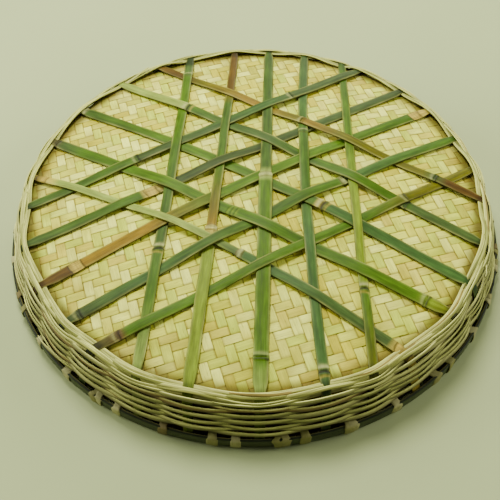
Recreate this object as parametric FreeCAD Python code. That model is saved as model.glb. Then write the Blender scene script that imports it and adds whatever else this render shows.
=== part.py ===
"""Shallow round tray basket of split bamboo, standing upside down on its rim.

The base is up. A dished mat forms the floor and the lining of the wall. Fifteen green slats in
three directions lie on the back of the mat; both ends of each slat turn down and become stakes,
and thin strips are woven round those thirty stakes. Two hoops and a lashing clamp the edge.

Frame: +Z up, origin on the floor under the middle of the rim. Lengths in millimetres.
"""
import FreeCAD, Part
import math
import os

# The base and the wall, at the middle of the stakes' thickness
BASE_RADIUS = 189.0           # the base's flat part, up to the shoulder
BASE_EDGE_HEIGHT = 42.5       # top of the mat at that radius
DOME_RADIUS = 1600.0          # the base bulges as a very flat sphere
SHOULDER_BEND = 9.0           # bend radius of the stakes
WALL_ANGLE = 72.0             # the wall's slope from horizontal, in degrees
WALL_RUN = 28.0               # straight length of the wall, along its slope
RIM_BEND = 10.0               # bend radius where the wall turns upright, inside the rim
EDGE_HEIGHT = 1.2             # the stakes and the mat end just above the floor

# Material thicknesses and gaps
MAT_THICKNESS = 1.4
SLAT_THICKNESS = 1.8
WEAVER_THICKNESS = 1.2
CLEARANCE = 0.1

# The wall's weaving
WEAVER_WIDTH = 2.6
WEAVER_ROWS = 13
WEAVER_PITCH = 2.93
FIRST_ROW = 0.8               # distance of the first row from the shoulder's start

# The rim. The turns of the lashing pass under the hoops and touch the floor.
OUTER_HOOP_THICKNESS = 2.7
INNER_HOOP_THICKNESS = 3.0
HOOP_HEIGHT = 10.0
LASHING_THICKNESS = 0.7
LASHING_WIDTH = 7.0
WIDE_GAP = 12.4               # degrees between stakes above which two lashing turns fit

# The lattice. For each slat: its offset from the centre, its lean in degrees, its bow at the
# ends and its width. Offsets are measured across the slats, towards the family's heading.
LATTICE = {
    "straight": (0.0, ((-70, 4.2, -3, 8.5), (-30, 5.0, -2, 9.0), (10, 2.5, 0, 10.5),
                       (43, 1.0, 7, 8.5), (83, 1.3, 3, 7.5))),
    "left": (60.0, ((89, 3.1, 4, 8.5), (51, 3.6, -1, 10.0), (8, 2.5, -3, 9.5),
                    (-35, 0.5, 0, 10.5), (-68, 1.5, -14, 8.0))),
    "right": (120.0, ((78, -0.3, 6, 9.5), (35, 0.9, 6, 9.5), (4, -0.4, -2, 10.0),
                      (-35, -0.5, -4, 9.5), (-76, 0.5, 2, 8.5))),
}
BOW_LENGTH = 180.0            # distance from a slat's middle at which its bow is given
STAKE_WIDTH = 7.0             # width to which each slat narrows on the wall
LONGEST_REACH = 260.0         # a distance along any slat that lies beyond the rim

# The weaving draft: rows are the first family's slats, columns the second's, O is over
DRAFT = {
    ("straight", "left"): ("OUOUU", "UOOOU", "OUOUO", "UOUOU", "UUOUO"),
    ("straight", "right"): ("OOUOU", "OUOUO", "UOOOU", "UOOUO", "UOOOO"),
    ("right", "left"): ("OOOOU", "UUOUO", "UOOOU", "OUOUO", "UOUOO"),
}
CROSSING_FLAT = 8.5           # half length over which one slat lies level on another
CROSSING_RAMP = 9.0           # length of the slope on each side of that
LIFT_START = 172.0            # between these radii the slats rise to the first row of weaving
LIFT_END = 186.5
STATION_STEP = 5.0            # spacing of the sections along a slat
WALL_STEP = 2.0
STRETCH = 8                   # stations spanned by one face

HOOP_BOTTOM = LASHING_THICKNESS + CLEARANCE
HOOP_TOP = HOOP_BOTTOM + HOOP_HEIGHT
STAKE_GAP = SLAT_THICKNESS / 2 + WEAVER_THICKNESS + 3 * CLEARANCE
SECTION = ((-1, -1), (1, -1), (1, 1), (-1, 1))
WEAVE_DEPTH = (SLAT_THICKNESS + WEAVER_THICKNESS) / 2 + CLEARANCE


def smooth(x):
    """Rise from 0 to 1 as x goes from 0 to 1, level at both ends."""
    x = min(max(x, 0.0), 1.0)
    return x * x * (3 - 2 * x)


def wall_segments():
    """The wall's middle line in the (radius, height) plane, as arcs and straight runs."""
    start = math.asin(BASE_RADIUS / DOME_RADIUS)
    lean = math.radians(WALL_ANGLE)
    bend = SHOULDER_BEND - STAKE_GAP
    base = BASE_EDGE_HEIGHT - bend * math.cos(start)
    shoulder = (BASE_RADIUS - bend * math.sin(start), base)
    top = (shoulder[0] + SHOULDER_BEND * math.sin(lean), base + SHOULDER_BEND * math.cos(lean))
    foot = (top[0] + WALL_RUN * math.cos(lean), top[1] - WALL_RUN * math.sin(lean))
    centre = (foot[0] - RIM_BEND * math.sin(lean), foot[1] - RIM_BEND * math.cos(lean))
    return (
        ("arc", shoulder, SHOULDER_BEND, start, lean),
        ("line", top, WALL_RUN, lean),
        ("arc", centre, RIM_BEND, lean, math.pi / 2),
        ("line", (centre[0] + RIM_BEND, centre[1]), centre[1] - EDGE_HEIGHT, math.pi / 2),
    )


WALL = wall_segments()
RIM_RADIUS = WALL[3][1][0]


def segment_length(segment):
    if segment[0] == "arc":
        return segment[2] * (segment[4] - segment[3])
    return segment[2]


WALL_LENGTH = sum(segment_length(segment) for segment in WALL)


def wall_point(distance, offset=0.0):
    """Radius, height and the normal's angle from vertical, at a distance down the wall."""
    for segment in WALL:
        length = segment_length(segment)
        if distance <= length or segment is WALL[-1]:
            break
        distance -= length
    if segment[0] == "arc":
        (radius, height), bend, start = segment[1:4]
        angle = start + distance / bend
        reach = bend + offset
        return radius + reach * math.sin(angle), height + reach * math.cos(angle), angle
    (radius, height), angle = segment[1], segment[3]
    radius += distance * math.cos(angle) + offset * math.sin(angle)
    height += -distance * math.sin(angle) + offset * math.cos(angle)
    return radius, height, angle


def mat_top(radius):
    """Height of the mat's back at a radius on the base."""
    drop = math.sqrt(DOME_RADIUS ** 2 - BASE_RADIUS ** 2)
    return BASE_EDGE_HEIGHT - drop + math.sqrt(DOME_RADIUS ** 2 - radius ** 2)


class Slat:
    """One slat of the lattice: its line in plan, its crossings and its height along its length."""

    def __init__(self, family, number, heading, layout):
        self.family = family
        self.number = number
        self.name = "slat_%s_%d" % (family, number + 1)
        self.heading = math.radians(heading)
        self.offset, lean, self.bow, self.width = layout
        self.lean = math.tan(math.radians(lean))
        self.under = []

    def plan(self, t):
        """Point in plan at a distance t along the slat from its middle."""
        across = self.offset + self.lean * t + self.bow * (t / BOW_LENGTH) ** 2
        c, s = math.cos(self.heading), math.sin(self.heading)
        return FreeCAD.Vector(across * c - t * s, across * s + t * c, 0)

    def reach(self, radius, end):
        """The t at which the slat crosses a circle, at its end +1 or -1."""
        near, far = 0.0, LONGEST_REACH
        while far - near > 1e-4:
            middle = (near + far) / 2
            if self.plan(end * middle).Length < radius:
                near = middle
            else:
                far = middle
        return end * near

    def angle(self, radius, end):
        point = self.plan(self.reach(radius, end))
        return math.degrees(math.atan2(point.y, point.x)) % 360

    def rank(self, t):
        """How many slats lie between this one and the mat, smoothed along its length."""
        total = 0.0
        for crossing in self.under:
            beyond = abs(t - crossing) - CROSSING_FLAT
            total += 1 - smooth(beyond / CROSSING_RAMP)
        return total

    def base_point(self, t):
        """Middle of the slat's thickness on the base."""
        point = self.plan(t)
        radius = point.Length
        step = SLAT_THICKNESS + 2 * CLEARANCE
        lying = SLAT_THICKNESS / 2 + 1.5 * CLEARANCE + step * self.rank(t)
        lift = smooth((radius - LIFT_START) / (LIFT_END - LIFT_START))
        point.z = mat_top(radius) + lying * (1 - lift) + STAKE_GAP * lift
        return point

    def wall_middle(self, distance, end):
        """Middle of the stake's thickness at a distance down the wall."""
        radius, height, _ = wall_point(distance)
        point = self.plan(self.reach(radius, end))
        point.z = height
        return point

    def stations(self):
        """Middle points from one cut end to the other, each with how far it is turned to the wall."""
        low = self.reach(BASE_RADIUS - 1, -1)
        high = self.reach(BASE_RADIUS - 1, 1)
        drops = [WALL_LENGTH * (i + 1) / round(WALL_LENGTH / WALL_STEP)
                 for i in range(round(WALL_LENGTH / WALL_STEP))]
        count = round((high - low) / STATION_STEP)
        points = [(self.wall_middle(d, -1), 1.0) for d in reversed(drops)]
        for i in range(count + 1):
            point = self.base_point(low + (high - low) * i / count)
            radius = math.hypot(point.x, point.y)
            points.append((point, smooth((radius - LIFT_START) / (BASE_RADIUS - LIFT_START))))
        return points + [(self.wall_middle(d, 1), 1.0) for d in drops]


def cross_lattice(slats):
    """Tell each slat where it lies over another, from the weaving draft."""
    for (first, second), rows in DRAFT.items():
        for a in (s for s in slats if s.family == first):
            for b in (s for s in slats if s.family == second):
                ta, tb = crossing(a, b)
                if rows[a.number][b.number] == "O":
                    a.under.append(ta)
                else:
                    b.under.append(tb)


def crossing(a, b):
    """The distances along two slats at which they cross in plan."""
    ta = tb = 0.0
    for _ in range(30):
        gap = b.plan(tb) - a.plan(ta)
        da = a.plan(ta + 0.5) - a.plan(ta - 0.5)
        db = b.plan(tb + 0.5) - b.plan(tb - 0.5)
        det = da.y * db.x - da.x * db.y
        ta += (gap.y * db.x - gap.x * db.y) / det
        tb += (gap.y * da.x - gap.x * da.y) / det
    return ta, tb


def side_faces(corners, spacing):
    """Four faces between the lines of the corners, over one stretch of stations."""
    edges = []
    for points in corners:
        spline = Part.BSplineCurve()
        spline.interpolate(Points=points, Parameters=spacing)
        edges.append(spline.toShape())
    return [Part.makeRuledSurface(edges[i], edges[(i + 1) % 4]) for i in range(4)]


def ribbon(corners, closed=False):
    """Solid with a four-cornered section, from the line of each corner in turn."""
    if closed:
        corners = [points + points[:1] for points in corners]
    count = len(corners[0])
    stretches = round((count - 1) / STRETCH)
    breaks = [round((count - 1) * i / stretches) for i in range(stretches + 1)]
    faces = []
    for first, last in zip(breaks, breaks[1:]):
        part = [points[first:last + 1] for points in corners]
        spacing = [0.0]
        for before, after in zip(part[0], part[0][1:]):
            spacing.append(spacing[-1] + (after - before).Length)
        faces += side_faces(part, spacing)
    if not closed:
        for i in (0, -1):
            ring = [points[i] for points in corners]
            faces.append(Part.Face(Part.makePolygon(ring + ring[:1])))
    shell = Part.Shell(faces)
    shell.sewShape()
    solid = Part.Solid(shell)
    if solid.Volume < 0:
        solid.reverse()
    return solid


def slat_solid(slat):
    """The slat's section is banked to the dome on the base, and to the wall on the stakes."""
    stations = slat.stations()
    across = FreeCAD.Vector(math.cos(slat.heading), math.sin(slat.heading), 0)
    corners = [[], [], [], []]
    for i, (point, turned) in enumerate(stations):
        before = stations[max(i - 1, 0)][0]
        after = stations[min(i + 1, len(stations) - 1)][0]
        along = (after - before).normalize()
        level = along.cross(FreeCAD.Vector(point.x, point.y, DOME_RADIUS)).normalize()
        tangent = FreeCAD.Vector(-point.y, point.x, 0).normalize()
        if tangent.dot(across) < 0:
            tangent = -tangent
        side = level * (1 - turned) + tangent * turned
        up = side.cross(along).normalize()
        side = along.cross(up).normalize()
        half = (slat.width * (1 - turned) + STAKE_WIDTH * turned) / 2
        thick = SLAT_THICKNESS / 2
        for corner, (x, y) in zip(corners, SECTION):
            corner.append(point + side * (x * half) + up * (y * thick))
    return ribbon(corners)


def stake_angles(slats, radius):
    """Where the stakes stand round a circle, in order, in degrees."""
    return sorted(slat.angle(radius, end) for slat in slats for end in (-1, 1))


def weaver_solid(slats, row):
    """One closed strip woven round the stakes: outside one, inside the next."""
    distance = FIRST_ROW + row * WEAVER_PITCH
    radius, height, lean = wall_point(distance)
    stakes = stake_angles(slats, radius)
    steps = 4
    corners = [[], [], [], []]
    for i, stake in enumerate(stakes):
        gap = (stakes[(i + 1) % len(stakes)] - stake) % 360
        for j in range(steps):
            turn = math.radians(stake + gap * j / steps)
            swing = math.cos(math.pi * (i + j / steps + row))
            depth = WEAVE_DEPTH * (1.5 * swing - 0.5 * swing ** 3)
            for corner, (x, y) in zip(corners, SECTION):
                down = x * WEAVER_WIDTH / 2
                out = depth + y * WEAVER_THICKNESS / 2
                r = radius + down * math.cos(lean) + out * math.sin(lean)
                z = height - down * math.sin(lean) + out * math.cos(lean)
                corner.append(FreeCAD.Vector(r * math.cos(turn), r * math.sin(turn), z))
    return ribbon(corners, closed=True)


def wall_edges(offset):
    """Edges of the wall's profile at an offset from its middle line, from base to edge."""
    edges = []
    for segment in WALL:
        if segment[0] == "arc":
            (radius, height), bend, start, stop = segment[1:]
            angles = (start, (start + stop) / 2, stop)
            reach = bend + offset
            ends = [FreeCAD.Vector(radius + reach * math.sin(a), 0, height + reach * math.cos(a))
                    for a in angles]
            edges.append(Part.Arc(*ends).toShape())
        else:
            (radius, height), length, angle = segment[1:]
            begin = FreeCAD.Vector(radius + offset * math.sin(angle), 0,
                                   height + offset * math.cos(angle))
            run = FreeCAD.Vector(math.cos(angle), 0, -math.sin(angle)) * length
            edges.append(Part.LineSegment(begin, begin + run).toShape())
    return edges


def dome_edge(depth):
    """The base's profile at a depth below the mat's back, from the middle to the shoulder."""
    reach = DOME_RADIUS - depth
    centre = BASE_EDGE_HEIGHT - math.sqrt(DOME_RADIUS ** 2 - BASE_RADIUS ** 2)
    stop = math.asin(BASE_RADIUS / DOME_RADIUS)
    points = [FreeCAD.Vector(reach * math.sin(a), 0, centre + reach * math.cos(a))
              for a in (0.0, stop / 2, stop)]
    return Part.Arc(*points).toShape()


def revolved(edges):
    """Solid turned about Z from a closed profile."""
    profile = Part.Face(Part.Wire(Part.__sortEdges__(edges)))
    solid = profile.revolve(FreeCAD.Vector(), FreeCAD.Vector(0, 0, 1), 360)
    if solid.Volume < 0:
        solid.reverse()
    return solid


def block(inner, outer, width, bottom, top, angle):
    """Box standing across a radius, turned to an angle in degrees."""
    box = Part.makeBox(outer - inner, width, top - bottom, FreeCAD.Vector(inner, -width / 2, bottom))
    box.rotate(FreeCAD.Vector(), FreeCAD.Vector(0, 0, 1), angle)
    return box


def lashing_angles(slats):
    """One lashing turn between neighbouring stakes, and two where the gap is wide."""
    stakes = stake_angles(slats, RIM_RADIUS)
    angles = []
    for i, stake in enumerate(stakes):
        gap = (stakes[(i + 1) % len(stakes)] - stake) % 360
        turns = 2 if gap > WIDE_GAP else 1
        angles += [stake + gap * (j + 1) / (turns + 1) for j in range(turns)]
    return angles


def joined(first, second, at_start):
    """Straight edge between the starts, or the ends, of two curved edges."""
    ends = [edge.valueAt(edge.FirstParameter if at_start else edge.LastParameter)
            for edge in (first, second)]
    return Part.LineSegment(*ends).toShape()


def mat_base():
    """The flat part of the mat, out to the shoulder."""
    back, face = dome_edge(0), dome_edge(MAT_THICKNESS)
    return revolved([back, face, joined(back, face, True), joined(back, face, False)])


def mat_wall(slats):
    """The rest of the mat, bent down to line the wall, with a slit for each lashing turn."""
    back = wall_edges(-STAKE_GAP)
    face = wall_edges(-STAKE_GAP - MAT_THICKNESS)
    ends = [joined(back[0], face[0], True), joined(back[-1], face[-1], False)]
    edge = RIM_RADIUS - STAKE_GAP
    slit_width = LASHING_WIDTH + 2 * CLEARANCE
    slit_top = HOOP_TOP + LASHING_THICKNESS + 2 * CLEARANCE
    slits = [block(edge - 2 * MAT_THICKNESS, edge + MAT_THICKNESS, slit_width, HOOP_TOP,
                   slit_top, angle) for angle in lashing_angles(slats)]
    return revolved(back + face + ends).cut(Part.Compound(slits))


def hoop(inner, thickness):
    """Flat strip bent into a closed hoop, its long edges eased."""
    outer = inner + thickness
    corners = [FreeCAD.Vector(r, 0, z) for r, z in (
        (inner, HOOP_BOTTOM), (outer, HOOP_BOTTOM), (outer, HOOP_TOP), (inner, HOOP_TOP))]
    solid = revolved(Part.makePolygon(corners + corners[:1]).Edges)
    return solid.makeFillet(thickness / 4, solid.Edges)


def lashing(slats, inner, outer):
    """All turns of the lashing, each a flat strip closed round both hoops."""
    bands = []
    for angle in lashing_angles(slats):
        whole = block(inner - LASHING_THICKNESS, outer + LASHING_THICKNESS, LASHING_WIDTH,
                      0, HOOP_TOP + CLEARANCE + LASHING_THICKNESS, angle)
        inside = block(inner, outer, 2 * LASHING_WIDTH, LASHING_THICKNESS,
                       HOOP_TOP + CLEARANCE, angle)
        bands.append(whole.cut(inside))
    return Part.Compound(bands)


def build():
    slats = [Slat(family, number, heading, layout)
             for family, (heading, layouts) in LATTICE.items()
             for number, layout in enumerate(layouts)]
    cross_lattice(slats)
    parts = {slat.name: slat_solid(slat) for slat in slats}
    for row in range(WEAVER_ROWS):
        parts["wall_weaver_%02d" % (row + 1)] = weaver_solid(slats, row)
    outer = RIM_RADIUS + SLAT_THICKNESS / 2 + CLEARANCE
    inner = RIM_RADIUS - STAKE_GAP - MAT_THICKNESS - CLEARANCE - INNER_HOOP_THICKNESS
    parts["mat_base"] = mat_base()
    parts["mat_wall"] = mat_wall(slats)
    parts["rim_outer_hoop"] = hoop(outer, OUTER_HOOP_THICKNESS)
    parts["rim_inner_hoop"] = hoop(inner, INNER_HOOP_THICKNESS)
    parts["rim_lashing"] = lashing(slats, inner - CLEARANCE, outer + OUTER_HOOP_THICKNESS + CLEARANCE)
    return parts


os.makedirs("parts", exist_ok=True)
for name, shape in build().items():
    shape.exportStep("parts/%s.step" % name)
    box = shape.BoundBox
    print("%-18s solids %2d valid %s volume %9.1f  x %.1f..%.1f y %.1f..%.1f z %.2f..%.2f" % (
        name, len(shape.Solids), shape.isValid(), shape.Volume,
        box.XMin, box.XMax, box.YMin, box.YMax, box.ZMin, box.ZMax))
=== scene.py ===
"""The looks of the winnowing basket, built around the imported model.

Every bamboo piece is a swept mesh: bark-sided slats with their culm nodes, the twill mat strip by
strip, the wall's weaving, the two hoops and the lashing. Shapes are worked out in millimetres and
turned into metres when a mesh is made. Colours are kept per vertex, and the fibre is procedural.
"""
import math

import bpy
import numpy as np
from mathutils import Matrix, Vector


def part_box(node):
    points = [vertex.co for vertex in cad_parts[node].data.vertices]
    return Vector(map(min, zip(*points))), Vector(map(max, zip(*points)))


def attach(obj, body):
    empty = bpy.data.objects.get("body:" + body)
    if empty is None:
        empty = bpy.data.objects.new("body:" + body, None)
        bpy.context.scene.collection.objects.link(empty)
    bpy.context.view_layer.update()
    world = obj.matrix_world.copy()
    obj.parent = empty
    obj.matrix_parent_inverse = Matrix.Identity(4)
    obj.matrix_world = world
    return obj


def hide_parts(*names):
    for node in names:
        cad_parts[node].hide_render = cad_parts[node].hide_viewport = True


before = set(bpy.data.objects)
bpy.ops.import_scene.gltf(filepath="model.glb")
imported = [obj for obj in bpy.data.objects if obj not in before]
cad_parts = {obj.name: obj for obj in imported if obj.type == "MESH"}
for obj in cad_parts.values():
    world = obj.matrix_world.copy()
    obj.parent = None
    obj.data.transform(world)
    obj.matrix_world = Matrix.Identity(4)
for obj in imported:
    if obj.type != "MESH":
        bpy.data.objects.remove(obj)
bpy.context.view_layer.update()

MM = 0.001


def corner(node, end, axis):
    """One coordinate of a node's box in millimetres: end 0 is its low corner, 1 its high one."""
    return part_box(node)[end][axis] / MM


# ---- driving sizes, in millimetres

# The profile runs at the middle of the stakes' thickness. Sizes that the frame's boxes don't give
# are the CAD model's own.
BASE_RADIUS = corner("mat_base", 1, 0)
DOME_RISE = 11.2
BASE_EDGE_HEIGHT = corner("mat_base", 1, 2) - DOME_RISE
DOME_RADIUS = (BASE_RADIUS ** 2 + DOME_RISE ** 2) / (2 * DOME_RISE)
SHOULDER_BEND = 9.0
WALL_LEAN = math.radians(72.0)
WALL_RUN = 28.0
RIM_BEND = 10.0
EDGE_HEIGHT = corner("mat_wall", 0, 2)
MAT_THICKNESS = 1.4
SLAT_THICKNESS = 1.8
STAKE_WIDTH = 7.0
CLEARANCE = 0.1
STAKE_GAP = 2.4  # from the middle of the stakes in to the mat
WEAVE_DEPTH = 1.6  # how far a weaver swings in and out of the stakes' middle
WEAVER_ROWS = 13
WEAVER_PITCH = 2.93
FIRST_ROW = 0.8  # from the base's edge down to the first row's middle
OUTER_HOOP_THICKNESS = 2.7
INNER_HOOP_THICKNESS = 3.0
HOOP_BOTTOM = corner("rim_outer_hoop", 0, 2)
HOOP_TOP = corner("rim_outer_hoop", 1, 2)
LASHING_TOP = corner("rim_lashing", 1, 2)
WIDE_GAP = 12.4  # degrees between stakes above which two lashing turns fit

SLAT_STEP = 0.9  # spacing of a slat's sections
BOW_LENGTH = 180.0  # distance from a slat's middle at which its bow is measured

# The lattice. For each family: the direction across its slats in degrees, and for each slat its
# offset that way from the centre, its lean in degrees, its bow at the ends and its width
LATTICE = {
    "straight": (0.0, ((-70, 4.2, -3, 8.5), (-30, 5.0, -2, 9.0), (10, 2.5, 0, 10.5),
                       (43, 1.0, 7, 8.5), (83, 1.3, 3, 7.5))),
    "left": (60.0, ((89, 3.1, 4, 8.5), (51, 3.6, -1, 10.0), (8, 2.5, -3, 9.5),
                    (-35, 0.5, 0, 10.5), (-68, 1.5, -14, 8.0))),
    "right": (120.0, ((78, -0.3, 6, 9.5), (35, 0.9, 6, 9.5), (4, -0.4, -2, 10.0),
                      (-35, -0.5, -4, 9.5), (-76, 0.5, 2, 8.5))),
}

# The weaving draft: rows are the first family's slats, columns the second's, O is over
DRAFT = {
    ("straight", "left"): ("OUOUU", "UOOOU", "OUOUO", "UOUOU", "UUOUO"),
    ("straight", "right"): ("OOUOU", "OUOUO", "UOOOU", "UOOUO", "UOOOO"),
    ("right", "left"): ("OOOOU", "UUOUO", "UOOOU", "OUOUO", "UOUOO"),
}
LIFT_START = 172.0  # radius at which a slat begins to turn into a stake
LIFT_END = 186.5  # radius past which it keeps the stake's distance from the mat
LAYER = 2.0  # height that one slat adds to another
LYING = 1.05  # middle of a slat that lies on the mat
SETTLING = 17.0  # length over which a slat bends back down to the mat
REST_STEP = 3.0  # spacing of the places where a slat's height is worked out

# The mat: a 2/2 twill, turned a little from the straight slats
STRIP_PITCH = 7.33
MAT_TURN = math.radians(16.5)
STRIP_WIDTH = 7.05

# ---- colours


def srgb(red, green, blue):
    """Linear colour from 0 to 255 display values."""
    values = np.array((red, green, blue)) / 255.0
    return np.where(values <= 0.04045, values / 12.92, ((values + 0.055) / 1.055) ** 2.4)


PALETTE = {
    "green": srgb(62, 92, 8), "bright": srgb(70, 100, 2), "yellow": srgb(108, 126, 18),
    "deep": srgb(56, 80, 20), "blue": srgb(58, 88, 36), "grey": srgb(64, 84, 36),
    "slate": srgb(54, 68, 28), "olive": srgb(92, 90, 10), "orange": srgb(124, 98, 4),
    "red": srgb(84, 62, 8), "brown": srgb(80, 58, 20), "straw": srgb(184, 162, 66),
    "pale": srgb(130, 146, 60), "dark": srgb(28, 24, 16), "powder": srgb(166, 166, 104),
    "flesh": srgb(190, 184, 106),
}

# Each slat's colours along its length, and its culm nodes, both at distances from its middle.
# Past the ends of its list a slat keeps its end colours.
SLAT_LOOKS = {
    "straight": (
        ("-190 pale, -110 green, -72 green, -60 deep, 40 green, 120 bright, 150 green, "
         "156 grey",
         "-67 scar, 151 ring"),
        ("-90 yellow, -62 yellow, -50 straw, -44 orange, -20 olive, 20 green, 100 deep, "
         "116 olive, 122 red",
         "-47 pale, 118 ring"),
        ("-190 pale, -165 bright, 0 bright, 4 pale, 12 pale, 18 deep", "-162 dark, 7 pale"),
        ("-190 grey, -170 blue, -60 blue, 40 green, 120 blue, 190 grey", "-174 scar, 62 ring"),
        ("-190 olive, -112 green, -100 yellow, -20 yellow, 60 bright, 140 green, 165 deep, "
         "190 brown",
         "-106 scar, 168 dark"),
    ),
    "left": (
        ("-140 brown, -128 grey, -118 olive, -40 olive, -4 orange, 4 olive, 50 orange, "
         "110 olive, 135 red",
         "-129 dark, 0 ring"),
        ("-124 grey, -116 green, -30 green, 30 grey, 96 green, 104 pale", "-119 dark, 100 scar"),
        ("-190 blue, -66 blue, -58 straw, -54 green, 60 bright, 190 deep", "-62 scar, 187 pale"),
        ("-190 olive, -170 yellow, -160 bright, -60 green, 60 bright, 150 green, 176 grey, "
         "190 brown",
         "-168 dark, -1 triple, 182 dark"),
        ("-163 straw, -156 grey, -30 blue, -24 grey, 20 pale, 150 pale, 160 straw",
         "-168 patch, -26 pale, 166 patch"),
    ),
    "right": (
        ("-190 slate, -90 grey, -60 blue, 20 grey, 68 slate, 74 green, 190 grey",
         "-88 ring, 70 dark"),
        ("-190 slate, -84 grey, -40 slate, 60 slate, 74 straw, 82 straw, 88 green, 190 grey",
         "-81 ring, 77 patch"),
        ("-176 straw, -168 green, -60 bright, 20 bright, 70 olive, 95 orange, 150 orange, "
         "165 brown, 190 red",
         "-174 patch, 160 patch"),
        ("-190 green, -70 blue, -60 green, 60 deep, 120 blue, 174 slate", "-66 cut, 175 dark"),
        ("-110 olive, -60 green, 60 bright, 150 green, 158 brown, 190 grey", "-100 ring, 158 dark"),
    ),
}

# Choices of colour, each with its weight
MAT_TINTS = (
    (srgb(214, 214, 78), 6), (srgb(196, 206, 66), 5), (srgb(230, 232, 112), 4),
    (srgb(194, 184, 50), 3), (srgb(200, 186, 70), 1),
)
MAT_STAIN = srgb(146, 124, 48)
# Colour of the painted shade where a mat strip lies under another.
MAT_SHADE = srgb(120, 100, 34)
# Darker colour of painted shade on the mat: under the ring, along the strips' edges and behind the
# wall.
MAT_DEEP_SHADE = srgb(70, 54, 20)
WEAVER_TINTS = (
    (srgb(160, 158, 96), 5), (srgb(184, 180, 118), 4), (srgb(134, 134, 78), 3),
    (srgb(150, 128, 80), 2),
)
# Pale upper edge of a weaver, partly its cut edge and partly a painted highlight.
WEAVER_EDGE = srgb(218, 220, 130)
# Colour of painted shade on the weavers and the lashing.
WEAVER_SHADE = srgb(64, 56, 36)
HOOP_BARK = (srgb(56, 64, 40), srgb(70, 78, 48), srgb(42, 48, 32))
INNER_HOOP_TINTS = (srgb(176, 164, 96), srgb(190, 176, 110))
LASHING_TINTS = (
    (srgb(142, 138, 84), 4), (srgb(124, 122, 66), 3), (srgb(164, 160, 108), 3),
    (srgb(112, 100, 56), 1),
)


def pick(rng, choices):
    """A colour drawn from weighted choices."""
    weights = np.array([weight for _, weight in choices], float)
    return choices[rng.choice(len(choices), p=weights / weights.sum())][0]


# ---- numbers


def smooth(x):
    """Rise from 0 to 1 as x goes from 0 to 1, level at both ends."""
    x = np.clip(x, 0.0, 1.0)
    return x * x * (3 - 2 * x)


def bump(x, width):
    """Soft bump of height 1 at x = 0."""
    return np.exp(-(x / width) ** 2)


def wander(rng, places, spacing):
    """A smooth random line from -1 to 1, with its knots a spacing apart."""
    low = places.min()
    knots = rng.uniform(-1, 1, int((places.max() - low) / spacing) + 3)
    x = (places - low) / spacing
    i = x.astype(int)
    f = smooth(x - i)
    return knots[i] * (1 - f) + knots[i + 1] * f


def wander_round(rng, turns, count):
    """The same for a closed ring: turns go from 0 to 1 and the line meets itself."""
    knots = rng.uniform(-1, 1, count)
    x = (turns % 1.0) * count
    i = x.astype(int) % count
    f = smooth(x - np.floor(x))
    return knots[i] * (1 - f) + knots[(i + 1) % count] * f


def blend(first, second, share):
    """Mix of two colours, or two sets of colours, by a share per vertex."""
    share = np.clip(np.asarray(share), 0, 1)[..., None]
    return first * (1 - share) + second * share


def unit(vectors):
    """The same directions with length 1."""
    return vectors / np.linalg.norm(vectors, axis=-1, keepdims=True)


# ---- the basket's profile

START_LEAN = math.asin(BASE_RADIUS / DOME_RADIUS)
SHOULDER_ARC = SHOULDER_BEND * (WALL_LEAN - START_LEAN)
RIM_ARC = RIM_BEND * (math.pi / 2 - WALL_LEAN)
INNER_BEND = SHOULDER_BEND - STAKE_GAP
SHOULDER = (BASE_RADIUS - INNER_BEND * math.sin(START_LEAN),
            BASE_EDGE_HEIGHT - INNER_BEND * math.cos(START_LEAN))


def wall_point(distance, offset=0.0):
    """Radius, height and the normal's angle from vertical, at a distance down the wall."""
    distance = np.asarray(distance, float)
    first = START_LEAN + np.clip(distance, None, SHOULDER_ARC) / SHOULDER_BEND
    run = np.clip(distance - SHOULDER_ARC, 0, WALL_RUN)
    second = np.clip(distance - SHOULDER_ARC - WALL_RUN, 0, RIM_ARC) / RIM_BEND
    drop = np.clip(distance - SHOULDER_ARC - WALL_RUN - RIM_ARC, 0, None)
    radius = SHOULDER[0] + SHOULDER_BEND * np.sin(first) + run * math.cos(WALL_LEAN)
    radius += RIM_BEND * (np.sin(WALL_LEAN + second) - math.sin(WALL_LEAN))
    height = SHOULDER[1] + SHOULDER_BEND * np.cos(first) - run * math.sin(WALL_LEAN)
    height += RIM_BEND * (np.cos(WALL_LEAN + second) - math.cos(WALL_LEAN)) - drop
    angle = first + second
    return radius + offset * np.sin(angle), height + offset * np.cos(angle), angle


UPRIGHT = SHOULDER_ARC + WALL_RUN + RIM_ARC  # distance from which the wall is upright
RIM_RADIUS = float(wall_point(UPRIGHT)[0])
WALL_LENGTH = float(UPRIGHT + wall_point(UPRIGHT)[1] - EDGE_HEIGHT)
OUTER_HOOP_RADIUS = corner("rim_outer_hoop", 1, 0) - OUTER_HOOP_THICKNESS
INNER_HOOP_RADIUS = RIM_RADIUS - STAKE_GAP - MAT_THICKNESS - CLEARANCE - INNER_HOOP_THICKNESS


def mat_top(radius):
    """Height of the mat's back at a radius on the base."""
    drop = math.sqrt(DOME_RADIUS ** 2 - BASE_RADIUS ** 2)
    return BASE_EDGE_HEIGHT - drop + np.sqrt(DOME_RADIUS ** 2 - radius ** 2)


# ---- meshes

SHARP_EDGE = math.radians(50)  # edges that turn by more than this are shaded as sharp
GRAIN_SHIFT = 13.7  # step between strips in the fibre pattern, so that none repeat


def add_object(name, data):
    """A new object in the scene."""
    thing = bpy.data.objects.new(name, data)
    bpy.context.scene.collection.objects.link(thing)
    return thing


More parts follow.
